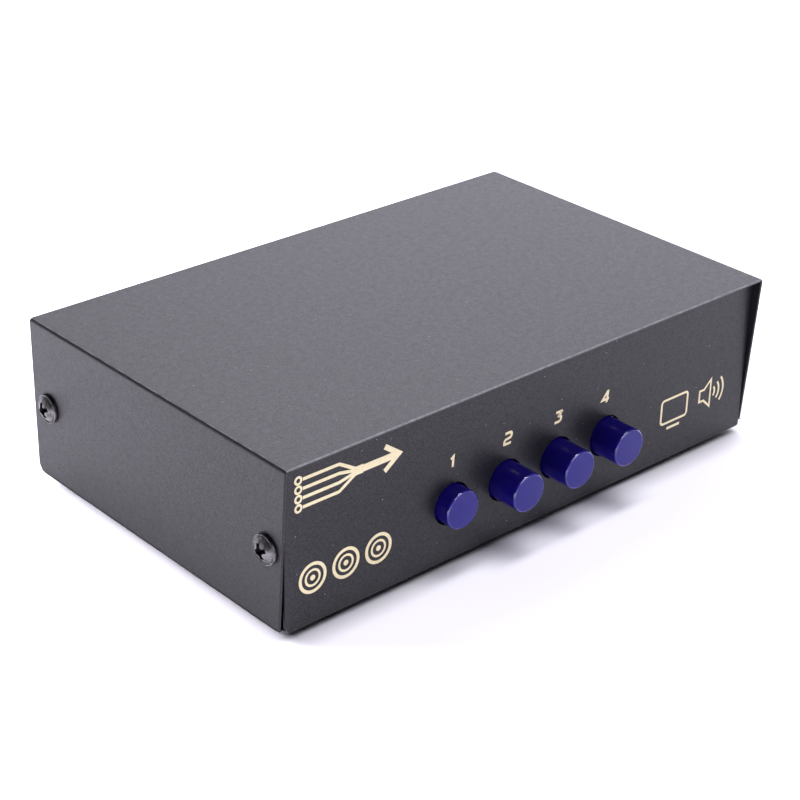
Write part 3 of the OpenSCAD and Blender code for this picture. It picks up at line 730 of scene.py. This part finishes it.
# ---------------------------------------------------------------- sockets
def insert_profile():
    """Flange on the panel and core inside the sleeve, with a pin hole, in (radius, y)."""
    y0, y1 = PAN_YR - 1.9, SLEEVE_Y1 - 0.3
    return rounded(
        [(0, y0), (4.3, y0), (4.3, PAN_YR), (5.2, PAN_YR), (5.2, SLEEVE_Y0), (3.5, SLEEVE_Y0), (3.5, y1), (1.65, y1), (1.65, y1 - 8.0), (0, y1 - 8.0)],
        [0, 0.1, 0, 0.08, 0.35, 0, 0.12, 0.22, 0.05, 0],
        5,
    )


for colour, z in JACK_Z.items():
    parts = [turned(insert_profile(), 72, Matrix.Translation((x, 0, z)) @ Matrix.Rotation(math.radians(-90), 4, "X")) for x in JACK_X]
    ob = smooth(new_object(f"socket_{colour}", *joined(parts)), 35)
    ob.data.materials.append({"yellow": YELLOW, "white": WHITE, "red": RED}[colour])
    stand_for(ob, "case", f"jack_inserts_{colour}", slot=f"jack_{colour}")

sleeve = rounded([(3.55, SLEEVE_Y0), (SLEEVE_R, SLEEVE_Y0), (SLEEVE_R, SLEEVE_Y1), (3.55, SLEEVE_Y1)], [0, 0, 0.28, 0.22], 5, True)
parts = [turned(sleeve, 80, Matrix.Translation((x, 0, z)) @ Matrix.Rotation(math.radians(-90), 4, "X"), True) for x in JACK_X for z in JACK_Z.values()]
ob = smooth(new_object("socket_sleeves", *joined(parts)), 35)
ob.data.materials.append(NICKEL)
stand_for(ob, "case", "jack_barrels", slot="sleeve_nickel")


# ---------------------------------------------------------------- print
def line_prism(points, width, place, closed=False, low=-0.012, high=0.022):
    """A printed line of even width, as thin raised ink."""
    n = len(points)
    left, right = [], []
    for i, p in enumerate(points):
        p = Vector(p)
        a = Vector(points[i - 1]) if closed or i else None
        b = Vector(points[(i + 1) % n]) if closed or i < n - 1 else None
        d0 = (p - a).normalized() if a is not None else (b - p).normalized()
        d1 = (b - p).normalized() if b is not None else d0
        t = (d0 + d1).normalized()
        nrm = Vector((-t.y, t.x))
        w = width / 2 / max(0.45, nrm.dot(Vector((-d1.y, d1.x))))
        left.append(p + nrm * w)
        right.append(p - nrm * w)
    verts = [place(q.x, q.y, h) for h in (low, high) for q in left + right]
    faces, m = [], 2 * n
    for i in range(n if closed else n - 1):
        j = (i + 1) % n
        faces += [(i, j, n + j, n + i), (m + i, m + n + i, m + n + j, m + j)]
        faces += [(i, m + i, m + j, j), (n + i, n + j, m + n + j, m + n + i)]
    if not closed:
        for i in (0, n - 1):
            faces.append((i, n + i, m + n + i, m + i))
    return verts, faces


def disc_prism(cx, cy, r, place, low=-0.012, high=0.022, n=28):
    ring = [(cx + r * math.cos(2 * math.pi * i / n), cy + r * math.sin(2 * math.pi * i / n)) for i in range(n)]
    verts = [place(x, y, h) for h in (low, high) for x, y in ring]
    faces = [tuple(range(n)), tuple(range(n, 2 * n))] + [(i, (i + 1) % n, n + (i + 1) % n, n + i) for i in range(n)]
    return verts, faces


def circle(cx, cy, r, n=36):
    return [(cx + r * math.cos(2 * math.pi * i / n), cy + r * math.sin(2 * math.pi * i / n)) for i in range(n)]


# numerals 3.3 mm high about their middle, drawn as lines
DIGITS = {
    "1": [[(-0.82, 0.70), (-0.02, 1.30), (-0.02, -1.65)]],
    "2": [rounded([(-1.10, 1.34), (1.02, 1.34), (1.02, 0.06), (-1.02, -0.22), (-1.02, -1.34), (1.14, -1.34)], [0, 0.60, 0.52, 0.52, 0.14, 0], 6)],
    "3": [rounded([(-1.08, 1.34), (1.12, 1.34), (-0.16, 0.16), (0.96, 0.16), (0.96, -1.34), (-1.14, -1.34)], [0, 0.10, 0.08, 0.62, 0.62, 0], 6)],
    "4": [[(0.56, -1.65), (0.56, 1.65)], [(0.44, 1.44), (-1.16, -0.72), (1.22, -0.72)]],
}


def numeral(digit, cx, cy, place, scale=1.0, width=0.66, slant=0.13):
    def put(u, v, h):
        return place(cx + scale * (u + slant * v), cy + scale * v, h)

    return fused("numeral_" + digit, [line_prism(line, width, put) for line in DIGITS[digit]])


def front_place(x, z, h):
    return (x, PAN_YF - h, z)


def rear_place(x, z, h):
    return (-x, PAN_YR + h, z)


def print_piece(name, made):
    ob = gathered(name, made)
    ob.data.materials.append(PRINT)
    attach(ob, "case")
    return ob


def mark(*parts):
    return fused("mark", list(parts))


made = []
for d, x, z, k, lean in (("1", -25.87, 25.67, 0.88, 0.06), ("2", -9.03, 25.51, 1.0, 0.13), ("3", 7.15, 25.45, 0.94, 0.13), ("4", 22.95, 25.43, 0.96, 0.13)):
    made.append(numeral(d, x, TRAY_Z + z, front_place, k, 0.66 / k, lean))
# four lines that run together into one arrow: choose one of four
mid = TRAY_Z + 33.3
rows = [mid + d for d in (3.3, 1.1, -1.1, -3.3)]
parts = [line_prism(rounded([(-68.4, z), (-58.6, z), (-54.2, mid + (z - mid) * 0.2), (-52.0, mid + (z - mid) * 0.2)], [0, 1.4, 1.4, 0], 6), 0.78, front_place) for z in rows]
parts.append(line_prism([(-52.4, mid), (-42.6, mid)], 1.7, front_place))
parts.append(line_prism([(-46.0, mid + 3.0), (-41.9, mid), (-46.0, mid - 3.0)], 1.25, front_place))
made.append(mark(*parts))
made += [mark(line_prism(circle(-69.6, z, 0.80, 28), 0.55, front_place, True)) for z in rows]
# three sockets
low = TRAY_Z + 11.8
for x in (-65.8, -56.6, -47.4):
    made.append(mark(line_prism(circle(x, low, 3.40, 48), 0.80, front_place, True)))
    made.append(mark(line_prism(circle(x, low, 1.90, 40), 0.55, front_place, True)))
    made.append(mark(disc_prism(x, low, 0.68, front_place)))
# a screen and a loudspeaker
low = TRAY_Z + 13.4
made.append(mark(line_prism(rounded([(43.6, low - 2.7), (53.0, low - 2.7), (53.0, low + 3.7), (43.6, low + 3.7)], 0.9, 5, True), 0.62, front_place, True)))
made.append(mark(line_prism([(46.0, low - 4.3), (50.6, low - 4.3)], 0.7, front_place)))
made.append(mark(line_prism([(57.6, low - 1.0), (59.2, low - 1.0), (61.6, low - 3.2), (61.6, low + 4.2), (59.2, low + 2.0), (57.6, low + 2.0)], 0.58, front_place, True)))
for r in (2.0, 3.6, 5.2):
    arc = [(61.2 + r * math.cos(math.radians(a)), low + 0.5 + r * math.sin(math.radians(a))) for a in range(-38, 39, 4)]
    made.append(mark(line_prism(arc, 0.58, front_place)))
print_piece("front_print", made)

# the same numbers by the socket columns, and an arrow out by the fifth
made = [numeral(d, -(JACK_X[4 - k] + 8.6), JACK_Z["yellow"], rear_place) for k, d in enumerate("1234")]
x, z = -(JACK_X[0] + 8.6), JACK_Z["yellow"]
made.append(mark(line_prism([(x - 2.2, z), (x + 1.6, z)], 0.6, rear_place), line_prism([(x + 0.2, z + 1.6), (x + 2.0, z), (x + 0.2, z - 1.6)], 0.6, rear_place)))
print_piece("rear_print", made)

# ---------------------------------------------------------------- inner parts keep their CAD shape
INNER = {
    "key_plunger_": IVORY,
    "slider_clips_": BRASS,
    "switch_body_": MOULD_BLACK,
    "switch_terminals": TIN,
    "switch_frame": STEEL,
    "latch_bar": STEEL,
    "switch_board": BOARD,
    "board_standoffs": BRASS,
    "board_screws": ZINC,
    "jack_board": BOARD,
    "jack_housing_": MOULD_BLACK,
    "jack_contacts": BRASS,
    "ribbon_cables": RIBBON,
}
for name, node in nodes.items():
    for start, paint in INNER.items():
        if name.startswith(start):
            node.data.materials.clear()
            node.data.materials.append(paint)

# ---------------------------------------------------------------- floor, light and camera
me = bpy.data.meshes.new("floor")
me.from_pydata([(-2.2, -2.2, 0), (2.2, -2.2, 0), (2.2, 2.2, 0), (-2.2, 2.2, 0)], [], [(0, 1, 2, 3)])
floor = bpy.data.objects.new("floor", me)
scene.collection.objects.link(floor)
pale = Finish("pale_floor", 0.9, 0.0, 0.0)
pale.to("Base Color", pale.mix(pale.span(pale.noise(60.0, 2.0), 0.3, 0.7, 0.0, 1.0), (0.88, 0.88, 0.89), (0.90, 0.90, 0.91)))
me.materials.append(pale.m)

SKY_FRONT, SKY_BACK, SKY_ROOF = 0.03, 2.2, 0.30
world = bpy.data.worlds.new("studio")
world.use_nodes = True
scene.world = world
wt = world.node_tree
wt.nodes.clear()
sky = wt.nodes.new("ShaderNodeBackground")
sky.inputs["Color"].default_value = (1.0, 0.972, 1.10, 1.0)
wt.links.new(sky.outputs["Background"], wt.nodes.new("ShaderNodeOutputWorld").inputs["Surface"])


def sky_node(kind, **links):
    n = wt.nodes.new(kind)
    for k, v in links.items():
        wt.links.new(v, n.inputs[k])
    return n


def sky_ramp(value, low, high, to_low, to_high):
    n = sky_node("ShaderNodeMapRange", Value=value)
    n.interpolation_type = "SMOOTHSTEP"
    for k, v in (("From Min", low), ("From Max", high), ("To Min", to_low), ("To Max", to_high)):
        n.inputs[k].default_value = v
    return n.outputs["Result"]


# a white tent that is open and dark towards the front and the left, and dimmer overhead than at the back
way = sky_node("ShaderNodeSeparateXYZ", Vector=wt.nodes.new("ShaderNodeTexCoord").outputs["Generated"])
back_wall = sky_ramp(way.outputs["Y"], 0.05, 0.50, SKY_FRONT, SKY_BACK)
roof = sky_ramp(way.outputs["Z"], 0.50, 0.95, 1.0, SKY_ROOF)
right_end = sky_ramp(way.outputs["X"], 0.0, 0.80, 0.20, 1.30)


def sky_times(a, b):
    n = wt.nodes.new("ShaderNodeMath")
    n.operation = "MULTIPLY"
    wt.links.new(a, n.inputs[0])
    wt.links.new(b, n.inputs[1])
    return n.outputs[0]


wt.links.new(sky_times(sky_times(back_wall, roof), right_end), sky.inputs["Strength"])


def softbox(name, at, aim, w, h, power):
    data = bpy.data.lights.new(name, "AREA")
    data.shape, data.size, data.size_y, data.energy = "RECTANGLE", w, h, power
    data.color = (1.0, 0.972, 1.08)
    ob = bpy.data.objects.new(name, data)
    ob.location = at
    ob.rotation_mode = "QUATERNION"
    ob.rotation_quaternion = (Vector(aim) - Vector(at)).to_track_quat("-Z", "Y")
    scene.collection.objects.link(ob)
    return ob


softbox("overhead", (0.28, 0.55, 0.85), (0.0, 0.0, 0.02), 0.5, 0.5, 3.0)
# two in front that draw the highlights, and leave the floor alone
spared = bpy.data.collections.new("all_but_floor")
spared.objects.link(floor)
spared.collection_objects[0].light_linking.link_state = "EXCLUDE"
for name, at, w, h, power in (("key", (0.22, -1.0, 0.44), 0.7, 0.22, 4.0), ("glint", (0.14, -0.36, 0.94), 0.30, 0.06, 1.7)):
    softbox(name, at, (0.0, -0.05, 0.02), w, h, power).light_linking.receiver_collection = spared
# three that only wash the floor white
lit = bpy.data.collections.new("floor_only")
lit.objects.link(floor)
for name, at, aim, w, h, power in (
    ("front_wash", (0.25, -0.35, 1.05), (0.03, -0.05, 0.0), 0.8, 0.8, 8.0),
    ("top_wash", (0.05, -0.046, 1.05), (0.05, -0.046, 0.0), 0.8, 0.16, 6.5),
    ("left_wash", (-0.50, 0.58, 0.42), (-0.28, 0.33, 0.0), 0.45, 0.45, 15.5),
):
    softbox(name, at, aim, w, h, power).light_linking.receiver_collection = lit

cam_data = bpy.data.cameras.new("camera")
cam = bpy.data.objects.new("camera", cam_data)
scene.collection.objects.link(cam)
az, el, roll = math.radians(-42.2794), math.radians(27.4192), math.radians(1.2237)
right = Vector((math.cos(az), math.sin(az), 0.0))
back = Vector((math.sin(az) * math.cos(el), -math.cos(az) * math.cos(el), math.sin(el)))
up = back.cross(right)
cx = math.cos(roll) * right + math.sin(roll) * up
cy = -math.sin(roll) * right + math.cos(roll) * up
middle = Vector((0.0, (TOP_YF + TOP_YR) / 2, (LOW_Z + TOP_Z) / 2)) * MM
at = middle + (-0.00814 * cx - 0.04367 * cy + 3.29972 * back) * 0.150
cam.matrix_world = Matrix(((cx.x, cy.x, back.x, at.x), (cx.y, cy.y, back.y, at.y), (cx.z, cy.z, back.z, at.z), (0, 0, 0, 1)))
cam_data.sensor_fit = "HORIZONTAL"
cam_data.sensor_width = 36.0
cam_data.lens = 36.0 * 2044.86 / 800.0
cam_data.clip_start, cam_data.clip_end = 0.01, 20.0
scene.camera = cam
scene.view_settings.view_transform = "Standard"
